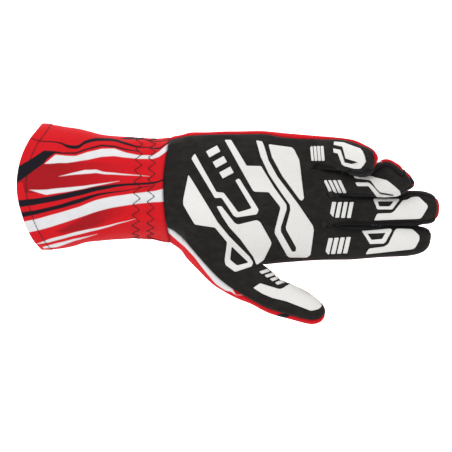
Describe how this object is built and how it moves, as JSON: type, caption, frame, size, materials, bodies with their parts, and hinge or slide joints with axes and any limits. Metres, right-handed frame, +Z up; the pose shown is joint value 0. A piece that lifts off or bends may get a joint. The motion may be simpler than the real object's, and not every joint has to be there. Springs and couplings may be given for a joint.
{
  "type": "karting glove",
  "caption": "Right-hand karting glove lying palm up, with a flared gauntlet cuff, a suede palm, four curled fingers, a thumb and raised silicone grip pads.",
  "frame": {"origin": "centre of the glove's box, at the height of the surface that it lies on", "axes": "+X from the cuff to the fingertips, +Y towards the little finger, +Z up, out of the palm"},
  "size_m": [0.3088, 0.1476, 0.0594],
  "materials": {
    "cuff_knit": "matt printed stretch knit, red with white and black bands",
    "back_knit": "matt stretch knit, red",
    "palm_suede": "black microfibre suede with a short soft nap",
    "side_wall_cloth": "black matt stretch knit",
    "grip_silicone": "off-white silicone print, satin"
  },
  "bodies": {
    "root": {"cuff_palm_side": "cuff_knit", "cuff_back_side": "cuff_knit", "back_panel": "back_knit", "palm_panel": "palm_suede", "fourchette_index_middle": "side_wall_cloth", "fourchette_middle_ring": "side_wall_cloth", "fourchette_ring_little": "side_wall_cloth", "grip_pad_heel": "grip_silicone", "grip_pad_hook": "grip_silicone", "grip_pad_mound": "grip_silicone", "grip_pad_centre": "grip_silicone", "grip_pad_edge": "grip_silicone", "grip_tip_little": "grip_silicone", "grip_tip_ring": "grip_silicone", "grip_loop_middle": "grip_silicone", "grip_tip_middle": "grip_silicone", "grip_loop_index": "grip_silicone", "grip_tip_index": "grip_silicone", "grip_tip_thumb": "grip_silicone", "grip_bar_palm_1": "grip_silicone", "grip_bar_palm_2": "grip_silicone", "grip_bar_palm_3": "grip_silicone", "grip_bar_little_1": "grip_silicone", "grip_bar_little_2": "grip_silicone", "grip_bar_little_3": "grip_silicone", "grip_bar_little_4": "grip_silicone", "grip_bar_ring_1": "grip_silicone", "grip_bar_ring_2": "grip_silicone", "grip_bar_ring_3": "grip_silicone", "grip_bar_ring_4": "grip_silicone", "grip_bar_middle_1": "grip_silicone", "grip_bar_middle_2": "grip_silicone", "grip_bar_middle_3": "grip_silicone", "grip_bar_middle_4": "grip_silicone", "grip_bar_index_1": "grip_silicone", "grip_bar_index_2": "grip_silicone", "grip_bar_index_3": "grip_silicone", "grip_bar_index_4": "grip_silicone", "grip_bar_thumb_1": "grip_silicone", "grip_bar_thumb_2": "grip_silicone", "grip_bar_thumb_3": "grip_silicone", "grip_bar_thumb_4": "grip_silicone"}
  },
  "joints": []
}
